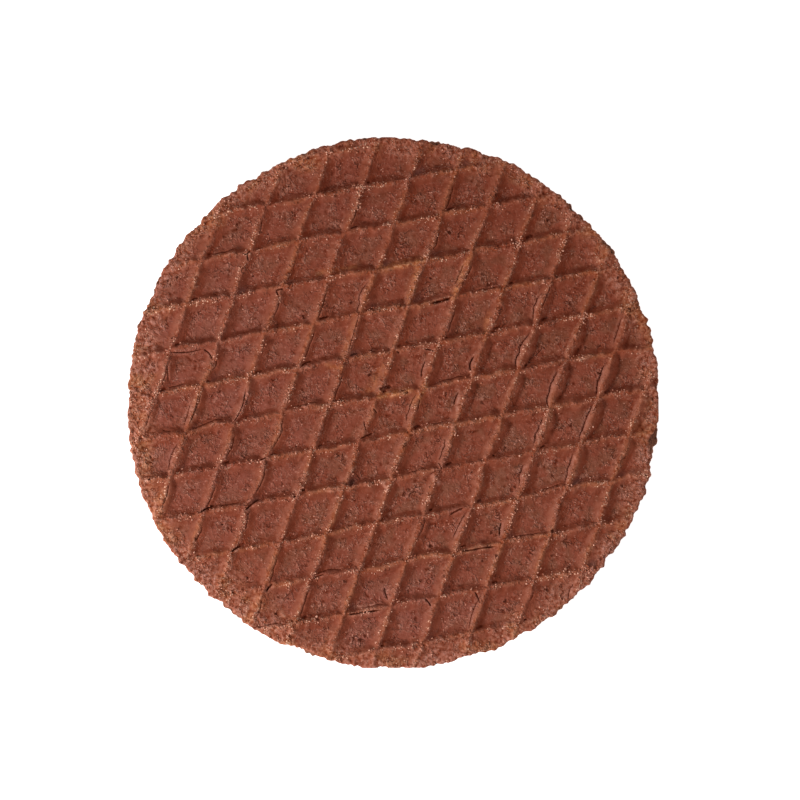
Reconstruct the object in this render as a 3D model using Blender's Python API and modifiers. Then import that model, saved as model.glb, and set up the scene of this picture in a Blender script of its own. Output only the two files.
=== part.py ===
# Chocolate stroopwafel: a round biscuit of two thin waffle discs with a layer of syrup between them.
# It lies flat, +Z is up, and the crests of its underside touch z = 0. Lengths are in metres.

import math

import bmesh
import bpy
from mathutils import Matrix

MM = 0.001

# Whole biscuit
DIAMETER = 85.0 * MM
WAFER_THICKNESS = 2.4 * MM
SYRUP_THICKNESS = 0.8 * MM
LAYER_GAP = 0.3 * MM
LOWER_WAFER_INSET = 0.1 * MM
SYRUP_INSET = 1.0 * MM

# Rims
RIM_SEGMENTS = 96
RIM_ROUNDING = 0.5 * MM
SYRUP_ROUNDING = 0.28 * MM
ROUNDING_STEPS = 2

# Ridge lattice that the waffle irons leave: two families of straight ridges, seen from outside.
# A phase is the distance from the middle of the disc to the nearest ridge of the family.
FLAT_RIDGE_ANGLE = math.radians(10.5)
STEEP_RIDGE_ANGLE = math.radians(70.5)
FLAT_RIDGE_PITCH = 6.67 * MM
STEEP_RIDGE_PITCH = 6.72 * MM
TOP_FLAT_PHASE = 1.40 * MM
TOP_STEEP_PHASE = -3.09 * MM
UNDERSIDE_PHASE = 0.0

# Half section of one ridge, from its flat crest over a shoulder and down the wall to the cell floor
CREST_HALF_WIDTH = 0.25 * MM
SHOULDER_DEPTH = 0.12 * MM
SHOULDER_HALF_WIDTH = 0.55 * MM
CELL_DEPTH = 0.95 * MM
FOOT_HALF_WIDTH = 1.55 * MM
CUTTER_OVERSHOOT = 0.04 * MM

# Cells stop short of the rim, and they get shallower on the way to it
RIM_LAND_AT_CREST = 0.9 * MM
RIM_LAND_AT_FLOOR = 2.2 * MM
FADE_WIDTH = 8.0 * MM
LEAST_DEPTH_RATIO = 0.5
OUTERMOST_CELL_INSET = 0.4 * MM
LIMIT_HALF_HEIGHT = 1.5 * CELL_DEPTH

# Wobble of an outline, as (waves round the rim, amplitude, phase in degrees)
UPPER_WOBBLE = ((4, 0.04 * MM, 72), (6, 0.06 * MM, -19), (14, 0.05 * MM, -145))
LOWER_WOBBLE = ((3, 0.05 * MM, 40), (5, 0.06 * MM, 200), (11, 0.05 * MM, 95))
SYRUP_WOBBLE = ((5, 0.16 * MM, 20), (9, 0.14 * MM, 250), (16, 0.09 * MM, 130))

# Dents and bumps of an outline, as (direction in degrees, half width in degrees, height)
UPPER_DENTS = (
    (-8.5, 4.0, -0.8 * MM),
    (81.0, 3.0, -0.6 * MM),
    (157.0, 4.0, -0.35 * MM),
    (230.0, 3.5, -0.6 * MM),
    (249.5, 4.0, -0.5 * MM),
)
LOWER_DENTS = (
    (-6.0, 5.0, 0.25 * MM),
    (120.0, 8.0, -0.35 * MM),
    (200.0, 9.0, -0.3 * MM),
)
SYRUP_DENTS = (
    (35.0, 7.0, 0.35 * MM),
    (140.0, 9.0, -0.4 * MM),
    (275.0, 8.0, 0.3 * MM),
)

WAFER_COLOR = (0.205, 0.061, 0.036, 1.0)
SYRUP_COLOR = (0.115, 0.032, 0.008, 1.0)
WAFER_ROUGHNESS = 0.85
SYRUP_ROUGHNESS = 0.3


def clear_scene():
    for obj in list(bpy.data.objects):
        bpy.data.objects.remove(obj, do_unlink=True)


def new_collection(name):
    collection = bpy.data.collections.new(name)
    bpy.context.scene.collection.children.link(collection)
    return collection


def new_material(name, color, roughness):
    material = bpy.data.materials.new(name)
    material.use_nodes = True
    material.diffuse_color = color
    shader = material.node_tree.nodes["Principled BSDF"]
    shader.inputs["Base Color"].default_value = color
    shader.inputs["Roughness"].default_value = roughness
    shader.inputs["Metallic"].default_value = 0.0
    return material


def object_from(bm, name, collection):
    mesh = bpy.data.meshes.new(name)
    bm.to_mesh(mesh)
    bm.free()
    obj = bpy.data.objects.new(name, mesh)
    collection.objects.link(obj)
    return obj


def cutter_from(bm, name, collection):
    obj = object_from(bm, name, collection)
    obj.hide_render = True
    obj.display_type = "WIRE"
    return obj


def add_boolean(obj, name, operation, other):
    boolean = obj.modifiers.new(name, "BOOLEAN")
    boolean.operation = operation
    boolean.solver = "EXACT"
    boolean.object = other


def outline_radius(angle, radius, wobble, dents):
    """Distance from the middle of a disc to its outline in one direction."""
    for waves, amplitude, phase in wobble:
        radius += amplitude * math.cos(waves * angle + math.radians(phase))
    for direction, half_width, height in dents:
        turn = (math.degrees(angle) - direction + 180.0) % 360.0 - 180.0
        radius += height * math.exp(-((turn / half_width) ** 2))
    return radius


def disc(name, collection, bottom, thickness, radius, wobble, dents):
    """Flat disc with a wobbly outline and smooth sides."""
    bm = bmesh.new()
    bmesh.ops.create_cone(
        bm, cap_ends=True, segments=RIM_SEGMENTS, radius1=1.0, radius2=1.0, depth=thickness
    )
    for vert in bm.verts:
        angle = math.atan2(vert.co.y, vert.co.x)
        reach = outline_radius(angle, radius, wobble, dents)
        vert.co.x *= reach
        vert.co.y *= reach
        vert.co.z += bottom + thickness / 2
    for face in bm.faces:
        face.smooth = len(face.verts) == 4
    return object_from(bm, name, collection)


def round_rim(obj, width, sides):
    """Rounds the rim on the sides named, +1 for the top and -1 for the bottom."""
    mesh = obj.data
    middle = sum(vert.co.z for vert in mesh.vertices) / len(mesh.vertices)
    weights = mesh.attributes.new("bevel_weight_edge", "FLOAT", "EDGE")
    for edge in mesh.edges:
        heights = [mesh.vertices[index].co.z - middle for index in edge.vertices]
        if any(min(side * height for height in heights) > 0.0 for side in sides):
            weights.data[edge.index].value = 1.0
    bevel = obj.modifiers.new("rim_rounding", "BEVEL")
    bevel.limit_method = "WEIGHT"
    bevel.width = width
    bevel.segments = ROUNDING_STEPS


def across_ridge(angle):
    """X and Y of the unit vector square to a ridge."""
    return -math.sin(angle), math.cos(angle)


def lattice_to_disc():
    """Matrix from (distance across the steep ridges, distance across the flat ridges) to X and Y."""
    steep_x, steep_y = across_ridge(STEEP_RIDGE_ANGLE)
    flat_x, flat_y = across_ridge(FLAT_RIDGE_ANGLE)
    return Matrix(((-steep_x, -steep_y), (flat_x, flat_y))).inverted().to_4x4()


def cell_centres(steep_phase, flat_phase):
    """Lattice coordinates of every cell middle that lies inside the rim, with its distance to the rim."""
    place = lattice_to_disc()
    reach = int(DIAMETER / FLAT_RIDGE_PITCH) + 1
    for i in range(-reach, reach + 1):
        for j in range(-reach, reach + 1):
            s = steep_phase + (i + 0.5) * STEEP_RIDGE_PITCH
            t = flat_phase + (j + 0.5) * FLAT_RIDGE_PITCH
            middle = place @ Matrix.Translation((s, t, 0.0)).translation
            to_rim = DIAMETER / 2 - middle.length
            if to_rim > OUTERMOST_CELL_INSET:
                yield s, t, to_rim


def add_cell(bm, s, t, depth_ratio):
    """Adds the cutter of one diamond cell: a well with sloping walls under a wider shoulder."""
    root2 = math.sqrt(2.0)
    half_pitch = (STEEP_RIDGE_PITCH + FLAT_RIDGE_PITCH) / 4
    depth = CELL_DEPTH * depth_ratio
    wall_slope = (FOOT_HALF_WIDTH - SHOULDER_HALF_WIDTH) / (CELL_DEPTH - SHOULDER_DEPTH)
    foot = SHOULDER_HALF_WIDTH + wall_slope * (depth - SHOULDER_DEPTH)
    shoulder_slope = (SHOULDER_HALF_WIDTH - CREST_HALF_WIDTH) / SHOULDER_DEPTH
    mouth = CREST_HALF_WIDTH - shoulder_slope * CUTTER_OVERSHOOT
    well = bmesh.ops.create_cone(
        bm,
        cap_ends=True,
        segments=4,
        radius1=root2 * (half_pitch - foot),
        radius2=root2 * (half_pitch - SHOULDER_HALF_WIDTH),
        depth=depth - SHOULDER_DEPTH,
        matrix=Matrix.Translation((0.0, 0.0, -(depth + SHOULDER_DEPTH) / 2)),
    )["verts"]
    faces = {face for vert in well for face in vert.link_faces}
    lid = max(faces, key=lambda face: face.calc_center_median().z)
    raised = bmesh.ops.extrude_discrete_faces(bm, faces=[lid])["faces"][0]
    widening = (half_pitch - mouth) / (half_pitch - SHOULDER_HALF_WIDTH)
    for vert in raised.verts:
        vert.co.x *= widening
        vert.co.y *= widening
        vert.co.z = CUTTER_OVERSHOOT
    place = lattice_to_disc() @ Matrix.Translation((s, t, 0.0))
    place = place @ Matrix.Rotation(math.radians(45.0), 4, "Z")
    bmesh.ops.transform(bm, matrix=place, verts=well + list(raised.verts))


def relief_cutter(name, collection, steep_phase, flat_phase, to_face):
    """Cutter for one face of the biscuit: all its cells, clipped short of the rim."""
    cells = bmesh.new()
    for s, t, to_rim in cell_centres(steep_phase, flat_phase):
        faded = LEAST_DEPTH_RATIO + (1.0 - LEAST_DEPTH_RATIO) * to_rim / FADE_WIDTH
        add_cell(cells, s, t, min(1.0, faded))
    limit = bmesh.new()
    slope = (RIM_LAND_AT_FLOOR - RIM_LAND_AT_CREST) / CELL_DEPTH
    bmesh.ops.create_cone(
        limit,
        cap_ends=True,
        segments=RIM_SEGMENTS,
        radius1=DIAMETER / 2 - RIM_LAND_AT_CREST - slope * LIMIT_HALF_HEIGHT,
        radius2=DIAMETER / 2 - RIM_LAND_AT_CREST + slope * LIMIT_HALF_HEIGHT,
        depth=2 * LIMIT_HALF_HEIGHT,
    )
    bmesh.ops.transform(cells, matrix=to_face, verts=cells.verts)
    bmesh.ops.transform(limit, matrix=to_face, verts=limit.verts)
    cutter = cutter_from(cells, name + "_cells", collection)
    limit_obj = cutter_from(limit, name + "_limit", collection)
    add_boolean(cutter, "stop_short_of_rim", "INTERSECT", limit_obj)
    return cutter


def main():
    clear_scene()
    biscuit = new_collection("stroopwafel")
    cutters = new_collection("cutters")
    cutters.hide_render = True
    wafer_material = new_material("chocolate_wafer", WAFER_COLOR, WAFER_ROUGHNESS)
    syrup_material = new_material("caramel_syrup", SYRUP_COLOR, SYRUP_ROUGHNESS)

    syrup_bottom = WAFER_THICKNESS + LAYER_GAP
    upper_bottom = syrup_bottom + SYRUP_THICKNESS + LAYER_GAP
    top = upper_bottom + WAFER_THICKNESS

    lower = disc(
        "lower_wafer",
        biscuit,
        0.0,
        WAFER_THICKNESS,
        DIAMETER / 2 - LOWER_WAFER_INSET,
        LOWER_WOBBLE,
        LOWER_DENTS,
    )
    round_rim(lower, RIM_ROUNDING, (-1,))
    underside = Matrix.Rotation(math.pi, 4, "X")
    cutter = relief_cutter("underside", cutters, UNDERSIDE_PHASE, UNDERSIDE_PHASE, underside)
    add_boolean(lower, "cells", "DIFFERENCE", cutter)
    lower.data.materials.append(wafer_material)

    syrup = disc(
        "syrup_filling",
        biscuit,
        syrup_bottom,
        SYRUP_THICKNESS,
        DIAMETER / 2 - SYRUP_INSET,
        SYRUP_WOBBLE,
        SYRUP_DENTS,
    )
    round_rim(syrup, SYRUP_ROUNDING, (-1, 1))
    syrup.data.materials.append(syrup_material)

    upper = disc(
        "upper_wafer",
        biscuit,
        upper_bottom,
        WAFER_THICKNESS,
        DIAMETER / 2,
        UPPER_WOBBLE,
        UPPER_DENTS,
    )
    round_rim(upper, RIM_ROUNDING, (1,))
    top_face = Matrix.Translation((0.0, 0.0, top))
    cutter = relief_cutter("top", cutters, TOP_STEEP_PHASE, TOP_FLAT_PHASE, top_face)
    add_boolean(upper, "cells", "DIFFERENCE", cutter)
    upper.data.materials.append(wafer_material)


main()
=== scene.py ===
import math

import bmesh
import bpy
import numpy as np
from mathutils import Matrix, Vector
from mathutils.geometry import delaunay_2d_cdt


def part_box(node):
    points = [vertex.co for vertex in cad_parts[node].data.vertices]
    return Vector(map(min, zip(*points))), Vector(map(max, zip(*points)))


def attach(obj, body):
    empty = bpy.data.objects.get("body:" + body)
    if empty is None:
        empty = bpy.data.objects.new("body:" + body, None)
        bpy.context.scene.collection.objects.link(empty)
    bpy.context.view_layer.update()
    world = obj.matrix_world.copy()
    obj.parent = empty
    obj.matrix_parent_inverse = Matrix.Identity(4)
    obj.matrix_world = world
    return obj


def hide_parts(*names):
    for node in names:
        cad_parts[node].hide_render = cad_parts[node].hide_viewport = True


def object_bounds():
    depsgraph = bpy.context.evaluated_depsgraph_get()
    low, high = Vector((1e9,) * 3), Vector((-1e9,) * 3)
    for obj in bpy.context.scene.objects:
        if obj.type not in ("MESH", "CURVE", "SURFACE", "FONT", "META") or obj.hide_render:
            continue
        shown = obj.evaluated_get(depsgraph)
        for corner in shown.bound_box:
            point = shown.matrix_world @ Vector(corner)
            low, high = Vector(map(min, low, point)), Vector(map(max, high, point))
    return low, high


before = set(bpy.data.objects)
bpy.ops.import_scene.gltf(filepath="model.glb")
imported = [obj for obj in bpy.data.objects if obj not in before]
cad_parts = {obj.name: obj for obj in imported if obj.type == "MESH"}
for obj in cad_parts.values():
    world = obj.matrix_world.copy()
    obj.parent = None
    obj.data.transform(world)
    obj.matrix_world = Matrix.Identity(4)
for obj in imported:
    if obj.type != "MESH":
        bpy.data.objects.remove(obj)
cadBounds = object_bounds()
print("stroopwafel: frame loaded")

millimetre = 0.001      # shapes are worked out in millimetres and scaled at the end
fullTurn = 2.0 * math.pi
mapReach = 43.0      # half the width that the face's texture map covers

biscuit = {
    "radius": 42.42,
    "top": cadBounds[1].z / millimetre,
    "flatAngle": 10.5,      # degrees, the nearly level ridges
    "steepAngle": 70.5,     # degrees, the steep ridges
    "flatPitch": 6.667,
    "steepPitch": 6.718,
    "upperInside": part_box("upper_wafer")[0].z / millimetre - 0.25,
    "lowerInside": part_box("lower_wafer")[1].z / millimetre + 0.25,
}


# small tools for shapes

def ease(low, high, value):      # 0 below low, 1 above high, smooth between
    part = np.clip((value - low) / (high - low), 0.0, 1.0)
    return part * part * (3.0 - 2.0 * part)


def softNoise(x, y, size, seed, wide=128):      # about -1 to 1, repeats after wide lumps along x
    turn = np.random.default_rng(seed).uniform(0.0, fullTurn, (128, wide))
    slopeX, slopeY = np.cos(turn), np.sin(turn)
    px, py = x / size, y / size
    ix, iy = np.floor(px).astype(int), np.floor(py).astype(int)
    fx, fy = px - ix, py - iy

    def corner(dx, dy):
        row, column = (iy + dy) % 128, (ix + dx) % wide
        return slopeX[row, column] * (fx - dx) + slopeY[row, column] * (fy - dy)

    sx = fx * fx * fx * (fx * (fx * 6.0 - 15.0) + 10.0)
    sy = fy * fy * fy * (fy * (fy * 6.0 - 15.0) + 10.0)
    low = corner(0, 0) + sx * (corner(1, 0) - corner(0, 0))
    high = corner(0, 1) + sx * (corner(1, 1) - corner(0, 1))
    return 1.6 * (low + sy * (high - low))


def layeredNoise(x, y, size, layers, seed, fall=0.6):
    total, weight, strength = 0.0, 0.0, 1.0
    for layer in range(layers):
        turn = 0.9 * layer
        rx, ry = x * math.cos(turn) - y * math.sin(turn), x * math.sin(turn) + y * math.cos(turn)
        total = total + strength * softNoise(rx, ry, size / 2 ** layer, seed + 17 * layer)
        weight += strength * strength
        strength *= fall
    return total / math.sqrt(weight)


# the ridge lattice

flatTurn, steepTurn = math.radians(biscuit["flatAngle"]), math.radians(biscuit["steepAngle"])
crossing = math.sin(steepTurn - flatTurn)


def toLattice(x, y):      # distances across the steep ridges and across the flat ridges
    return x * math.sin(steepTurn) - y * math.cos(steepTurn), y * math.cos(flatTurn) - x * math.sin(flatTurn)


def fromLattice(s, t):
    x = (s * math.cos(flatTurn) + t * math.cos(steepTurn)) / crossing
    y = (s * math.sin(flatTurn) + t * math.sin(steepTurn)) / crossing
    return x, y


# outline of a disc

def outlineRadius(angle, look):      # angle in radians
    angle = np.asarray(angle, float)
    radius = look["radius"] + look["offCentre"][0] * np.cos(angle) + look["offCentre"][1] * np.sin(angle)
    for lumps, height in look["rimLumps"]:
        along = angle / fullTurn * lumps
        radius = radius + height * softNoise(along, 0.37 + 0 * angle, 1.0, look["seed"] + lumps, lumps)
    for direction, halfWidth, height in look["rimDents"]:
        turn = (np.degrees(angle) - direction + 180.0) % 360.0 - 180.0
        radius = radius + height * np.exp(-np.abs(turn / halfWidth) ** 3)
    return radius


# strokes: cracks, wrinkles and seams carved into a face

def curvedStroke(start, end, bow, wobble, random, steps=10):
    start, end = np.array(start, float), np.array(end, float)
    run = end - start
    side = np.array((-run[1], run[0])) / max(1e-6, np.hypot(*run))
    along = np.linspace(0.0, 1.0, steps)
    sway = bow * np.sin(math.pi * along) + wobble * np.cumsum(random.normal(0.0, 0.35, steps))
    return start + np.outer(along, run) + np.outer(sway, side)


def strokePoints(stroke, spacing):      # points to add to the mesh so that the stroke is carved sharply
    path, width = stroke[:2]
    lengths = np.hypot(*np.diff(path, axis=0).T)
    total = np.concatenate(([0.0], np.cumsum(lengths)))
    count = max(3, int(total[-1] / spacing))
    at = np.linspace(0.0, total[-1], count)
    middle = np.stack([np.interp(at, total, path[:, k]) for k in (0, 1)], -1)
    run = np.gradient(middle, axis=0)
    run /= np.maximum(1e-9, np.hypot(*run.T))[:, None]
    side = np.stack((-run[:, 1], run[:, 0]), -1)
    return np.concatenate([middle + side * width * offset for offset in (-1.5, -0.7, 0.0, 0.7, 1.5)])


def strokeDepth(x, y, strokes):      # how deep each point is carved, and how much of a crack it is
    depth, crack = np.zeros_like(x), np.zeros_like(x)
    for path, width, deepest, dark in strokes:
        low, high = path.min(0) - 3.0 * width, path.max(0) + 3.0 * width
        near = np.flatnonzero((x > low[0]) & (x < high[0]) & (y > low[1]) & (y < high[1]))
        if not len(near):
            continue
        point = np.stack((x[near], y[near]), -1)[:, None, :]
        start, run = path[:-1][None], np.diff(path, axis=0)[None]
        part = np.clip(((point - start) * run).sum(-1) / np.maximum(1e-9, (run * run).sum(-1)), 0.0, 1.0)
        gap = np.hypot(*np.moveaxis(point - start - part[..., None] * run, -1, 0))
        best = gap.argmin(1)
        rows = np.arange(len(near))
        along = (best + part[rows, best]) / (len(path) - 1)
        taper = ease(0.0, 0.22, along + 0.03) * ease(0.0, 0.22, 1.03 - along)
        cut = np.exp(-(gap[rows, best] / (width * (0.5 + 0.5 * taper))) ** 2) * taper
        depth[near] = np.maximum(depth[near], deepest * cut)
        crack[near] = np.maximum(crack[near], dark * cut)
    return depth, crack


def strokeGlow(x, y, strokes):      # soft strokes of colour along a ridge
    glow = np.zeros_like(x)
    for start, end, width, strength in strokes:
        run = np.subtract(end, start)
        part = np.clip(((x - start[0]) * run[0] + (y - start[1]) * run[1]) / (run @ run), 0.0, 1.0)
        gap = np.hypot(x - start[0] - part * run[0], y - start[1] - part * run[1])
        glow = np.maximum(glow, strength * np.exp(-(gap / width) ** 2))
    return glow


# one face of a wafer, seen from outside

def ridgeFamilies(look):      # profile, pitch and phase of the steep and the flat set of ridges
    return (
        dict(
            look["steepRidge"], pitch=biscuit["steepPitch"], phase=look["steepPhase"], shift=0,
            otherPitch=biscuit["flatPitch"], otherPhase=look["flatPhase"],
        ),
        dict(
            look["flatRidge"], pitch=biscuit["flatPitch"], phase=look["flatPhase"], shift=40,
            otherPitch=biscuit["steepPitch"], otherPhase=look["steepPhase"],
        ),
    )


def ridgeNoise(look, ridge, line, along, number, lump):      # differs from ridge to ridge and along each one
    return softNoise(
        along / lump + line * 37.17, line * 11.3 + 0.5, 1.0, look["seed"] + ridge["shift"] + number
    )


# 0 to 1, one value for each piece of ridge between two crossings
def segmentDraw(look, ridge, line, along, number):
    table = np.random.default_rng(look["seed"] + ridge["shift"] + number).uniform(0.0, 1.0, (64, 64))
    piece = np.floor((along - ridge["otherPhase"]) / ridge["otherPitch"])
    return table[np.asarray(line, int) % 64, np.asarray(piece, int) % 64]


def pinchAt(ridge, along):      # 0 where ridges cross, 1 midway between
    return np.abs(np.sin(math.pi * (along - ridge["otherPhase"]) / ridge["otherPitch"]))


def crestOffset(look, ridge, line, along):      # how far a crest strays from its straight line
    across = ridge["phase"] + line * ridge["pitch"]
    x, y = fromLattice(across, along) if ridge["shift"] == 0 else fromLattice(along, across)
    leaf = patchShare(x, y, look["leafPatches"])
    bulge = ridge["bulge"] * (segmentDraw(look, ridge, line, along, 20) - 0.25 + 1.0 * leaf)
    bulge = bulge * (1.0 - rollShare(x, y, look))
    offset = bulge * pinchAt(ridge, along)
    for share, number, lump in (
        (ridge["wander"], 6, 5.0), (ridge["jitter"], 7, 1.3), (0.6 * ridge["jitter"], 8, 0.6),
    ):
        offset = offset + share * ridgeNoise(look, ridge, line, along, number, lump)
    return offset


def warp(x, y, look):      # the iron's lines waver a little in the dough
    wide, fine = look["warp"], look["ragged"]
    wx = wide * softNoise(x, y, 7.5, look["seed"] + 1) + fine * softNoise(x, y, 1.0, look["seed"] + 2)
    wy = wide * softNoise(x, y, 7.5, look["seed"] + 3) + fine * softNoise(x, y, 1.0, look["seed"] + 4)
    return wx, wy


def besideRidge(look, family, line, along, offset):      # a place at some offset from a crest, along it in mm
    ridge = ridgeFamilies(look)[family]
    across = ridge["phase"] + line * ridge["pitch"] + crestOffset(look, ridge, line, along) + offset
    x, y = fromLattice(*((across, along) if family == 0 else (along, across)))
    wx, wy = warp(x, y, look)
    return x - wx, y - wy


def patchShare(x, y, patches):      # soft oval patches
    share = np.zeros_like(x)
    for px, py, reachX, reachY, strength in patches:
        share = np.maximum(share, strength * np.exp(-((x - px) / reachX) ** 2 - ((y - py) / reachY) ** 2))
    return share


def rollShare(x, y, look):      # where the steep ridges swell into rolls of dough
    uneven = 1.0 + 0.5 * softNoise(x, y, 8.0, look["seed"] + 7)
    return np.clip(patchShare(x, y, look["rollPatches"]) * uneven, 0.0, 1.0)


def rollEdge(pinch):      # how far a roll reaches to the left of its crest line
    return 0.30 + 0.60 * pinch


# height over the crest line, and level: 0 on the crest, 1 on the floor
def ridgeProfile(look, ridge, across, along, roll):
    line = np.round((across - ridge["phase"]) / ridge["pitch"])
    gap = across - ridge["phase"] - line * ridge["pitch"] - crestOffset(look, ridge, line, along)
    pinch = pinchAt(ridge, along)
    roll = roll * ridge["rolls"]

    def vary(number, lump):
        return ridgeNoise(look, ridge, line, along, number, lump)

    before = gap < 0
    wide = 0.8 + 0.6 * segmentDraw(look, ridge, line, along, 22) * pinch
    half = ridge["crestHalf"] * (wide + 0.35 * vary(9, 3.0) + 0.4 * vary(10, 0.9))
    foot = np.where(before, ridge["footBefore"], ridge["footAfter"])
    foot = foot + 0.16 * vary(11, 4.0) + 0.10 * vary(12, 1.4)
    slope = np.clip((np.abs(gap) - half) / (foot - half), 0.0, 1.0)
    hollow = 1.0 - (1.0 - slope) ** np.where(before, ridge["bendBefore"], ridge["bendAfter"])
    edge = np.where(before, rollEdge(pinch), 0.70 + 0.70 * pinch)
    swollen = 1.0 - np.sqrt(1.0 - np.clip(np.abs(gap) / edge, 0.0, 1.0) ** np.where(before, 3.0, 2.2))
    level = hollow + roll * (swollen - hollow)
    drop = ridge["drop"] * (1.0 + 1.0 * vary(13, 5.0) + 0.9 * vary(14, 1.5))
    drop = drop * (0.75 + 0.8 * segmentDraw(look, ridge, line, along, 21) * pinch) * (1.0 - 0.8 * roll)
    dome = look["crestDome"] * np.clip(np.abs(gap) / (half + 0.05), 0.0, 1.0) ** 2
    return -drop * (1.0 - level) - dome, level, gap, roll * pinch


def faceRelief(x, y, look):
    def noise(size, number):
        return softNoise(x, y, size, look["seed"] + number)

    def lumpy(size, layers, number, *fall):
        return layeredNoise(x, y, size, layers, look["seed"] + number, *fall)

    rimGap = outlineRadius(np.arctan2(y, x), look) - np.hypot(x, y)
    wx, wy = warp(x, y, look)
    s, t = toLattice(x + wx, y + wy)
    fade = ease(0.2, look["fadeWidth"], rimGap)
    for px, py, reach, share in look["shallowPatches"]:
        fade = fade * (1.0 - (1.0 - share) * np.exp(-((x - px) ** 2 + (y - py) ** 2) / reach ** 2))
    depth = look["depth"] * (look["rimDepth"] + (1.0 - look["rimDepth"]) * fade)
    depth = depth * (1.0 + 0.12 * noise(16.0, 5) + 0.12 * noise(7.0, 6))
    roll = rollShare(x, y, look)
    mauve = patchShare(x, y, look["mauvePatches"]) * np.clip(0.7 + 0.6 * noise(9.0, 14), 0.0, 1.0)
    steep, flat = ridgeFamilies(look)
    steepTop, steepLevel, steepGap, steepRoll = ridgeProfile(look, steep, s, t, roll)
    flatTop, flatLevel, flatGap = ridgeProfile(look, flat, t, s, roll)[:3]
    first, second = steepTop - depth * steepLevel, flatTop - look["flatShare"] * depth * flatLevel
    height = 0.5 * (first + second + np.sqrt((first - second) ** 2 + look["filletSize"] ** 2))
    level = np.minimum(steepLevel, flatLevel)
    crest = 1.0 - ease(0.05, 0.35, level)
    floor = ease(0.70, 0.97, level)
    wall = np.clip(1.0 - crest - floor, 0.0, 1.0)
    onFlat = ease(-0.1, 0.1, steepLevel - flatLevel)
    # painted shade: the sides of the steep ridges turned away from the light get their own colour
    shadedSide = wall * (1.0 - onFlat) * (steepGap > 0)      # the far sides of the steep ridges
    # painted shade: the upper sides of the nearly level ridges face away from the light
    shadedShelf = wall * onFlat * (flatGap > 0)      # the upper sides of the nearly level ridges
    lower = wall * onFlat * (flatGap < 0)
    # painted light: the slopes rising to a steep crest face the light and get a paler colour
    litRamp = (1.0 - onFlat) * ease(-1.75, -0.6, steepGap) * (steepGap < 0)      # rising to a steep crest
    litRamp = litRamp * (1.0 - 0.4 * ease(0.05, 0.9, steepLevel))
    smooth = np.clip(0.75 * wall + 0.6 * steepRoll * (1.0 - floor), 0.0, 1.0)
    # painted shade in the deep lower left corner of each cell, where the shadows of two ridges fall
    corner = np.exp(-(np.clip(steepGap - 1.0, 0.0, 9.0) ** 2 + np.clip(flatGap - 0.8, 0.0, 9.0) ** 2) / 0.55)
    corner = corner * ease(0.1, 0.6, steepGap) * ease(0.1, 0.5, flatGap) * (1.0 - crest)
    # painted shade along the foot of a flat ridge's lower side, then the crossings
    foot = np.exp(-((flatGap + 1.40) / 0.30) ** 2) * ease(0.3, 1.0, steepLevel)
    cross = np.exp(-(steepGap ** 2 + flatGap ** 2) / 0.30)
    # pale edge of a roll
    lip = steepRoll * np.exp(-((steepGap + rollEdge(steepRoll) - 0.16) / 0.10) ** 2)
    lip = lip * (1.0 + 0.6 * noise(1.2, 9))
    crest = np.clip(crest * (1.0 - 0.85 * steepRoll) + 0.6 * lip, 0.0, 1.0)
    # where crumbs and grains catch the light: painted highlights, kept off the shaded right sides of the
    # steep crests
    sparkle = (1.0 - ease(0.05, 0.55, level)) * (1.0 - 0.6 * (1.0 - onFlat) * ease(0.0, 0.3, steepGap))
    sparkle = sparkle * np.clip(0.38 + 1.0 * noise(3.6, 10) + 0.7 * noise(1.3, 11), 0.0, 1.0)
    crest = crest * np.clip(0.7 + 0.5 * noise(3.2, 13), 0.15, 1.0) * (1.0 - 0.3 * onFlat)
    crest = crest * (1.0 - 0.5 * mauve) * (1.0 - 0.6 * (1.0 - onFlat) * ease(0.0, 0.35, steepGap))
    rimPlace = rimGap - patchShare(x, y, look["wideRims"]) + 1.7 * noise(4.0, 8) + 0.5 * noise(1.3, 12)
    rim = 1.0 - ease(0.3, look["rimWidth"], rimPlace)
    height = height - look["rimDrop"] * (1.0 - ease(0.0, 4.0, rimGap))
    edge = np.clip(rimGap / look["edgeRound"], 0.0, 1.0)
    height = height - look["edgeRound"] * (1.0 - np.sqrt(1.0 - (1.0 - edge) ** 2))
    ironed = height
    # roughness of the baked skin, strongest on the crests and at the rim
    lumps = lumpy(0.70, 2, 20, 0.7)
    height = height + (look["crestLumps"] * crest + look["rimLumpHeight"] * rim) * lumps
    height = height + floor * (look["floorLumps"] * lumpy(0.9, 2, 24, 0.8) + 0.07 * noise(4.5, 26))
    height = height + wall * look["wallLumps"] * lumpy(1.4, 2, 28)
    bits = np.clip(noise(0.50, 30) - 0.40, 0.0, 1.0)
    height = height + look["bitHeight"] * bits * np.clip(crest + rim, 0.0, 1.0)
    pits = np.clip(noise(0.55, 32) - 0.45, 0.0, 1.0)
    height = height - look["pitDepth"] * pits * (0.4 * floor + 0.7 * crest + 1.0 * rim)
    # the cracks are carved, and painted shade darkens them deep inside
    carved, crack = strokeDepth(x, y, look["strokes"])
    height = height - carved
    broken = np.clip(0.65 + 0.7 * noise(0.8, 34) + 0.5 * noise(0.35, 37), 0.0, 1.0)
    toasted = look["crestGold"] * (1.0 - ease(0.05, 0.42, level)) * (1.0 - 0.85 * steepRoll)
    toasted = toasted * np.clip(0.35 + 1.1 * noise(7.0, 41), 0.0, 1.0)
    gold = np.maximum(strokeGlow(x, y, look["goldStrokes"]) * broken, toasted)
    pale = strokeGlow(x, y, look["paleStrokes"]) * np.clip(0.7 + 0.8 * noise(0.6, 35), 0.0, 1.0)
    height = height + 0.12 * pale + 0.10 * gold * lumpy(0.45, 2, 38, 0.8)
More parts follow.
